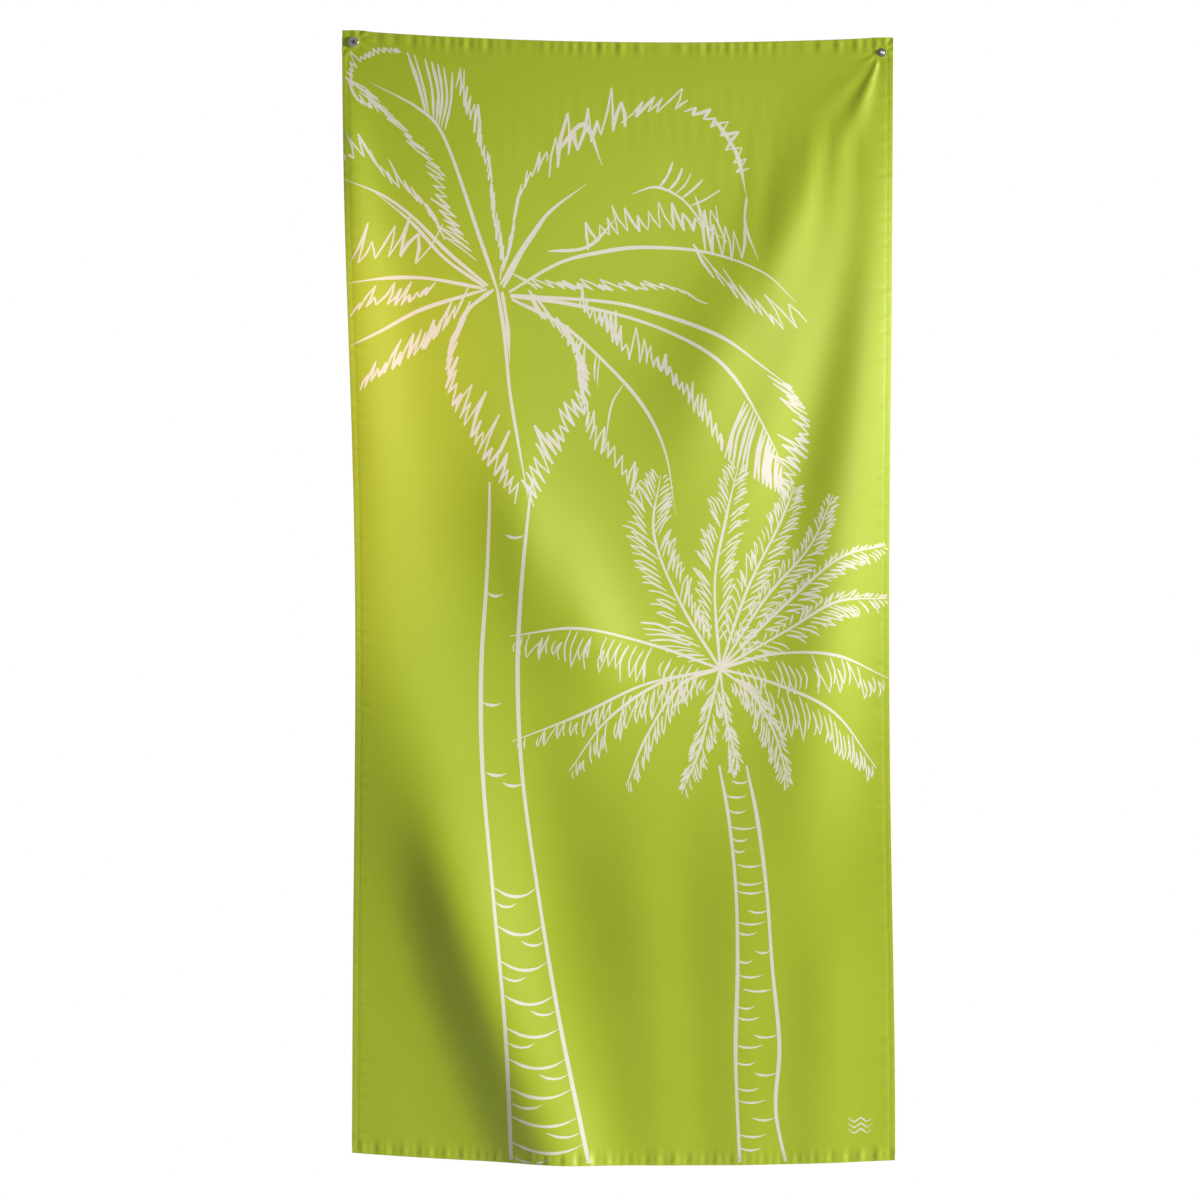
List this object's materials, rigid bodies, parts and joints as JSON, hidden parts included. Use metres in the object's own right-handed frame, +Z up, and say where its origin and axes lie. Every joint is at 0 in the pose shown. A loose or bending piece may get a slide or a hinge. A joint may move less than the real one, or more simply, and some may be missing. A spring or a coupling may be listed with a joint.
{
  "type": "beach towel",
  "caption": "Printed rectangular beach towel with hemmed edges, hanging from a press-stud socket and stud in its top corners",
  "frame": {"origin": "midway between the two corner fasteners, on the front face of the cloth, which is where the towel hangs from", "axes": "+X to the right of someone who looks at the printed side, +Z up, and the printed side faces -Y"},
  "size_m": [0.7901, 0.0376, 1.6172],
  "materials": {
    "printed_cloth": "satin",
    "hem_cloth": "satin",
    "sewing_thread": "satin",
    "nickel_plate": "polished",
    "spring_wire": "satin"
  },
  "bodies": {
    "root": {"towel_panel": "printed_cloth", "hem_top": "hem_cloth", "hem_bottom": "hem_cloth", "hem_left": "hem_cloth", "hem_right": "hem_cloth", "needle_thread_top": "sewing_thread", "needle_thread_bottom": "sewing_thread", "needle_thread_left": "sewing_thread", "needle_thread_right": "sewing_thread", "bobbin_thread_top": "sewing_thread", "bobbin_thread_bottom": "sewing_thread", "bobbin_thread_left": "sewing_thread", "bobbin_thread_right": "sewing_thread", "socket_shell": "nickel_plate", "socket_spring": "spring_wire", "socket_cap": "nickel_plate", "stud_body": "nickel_plate", "stud_post": "nickel_plate"}
  },
  "joints": []
}
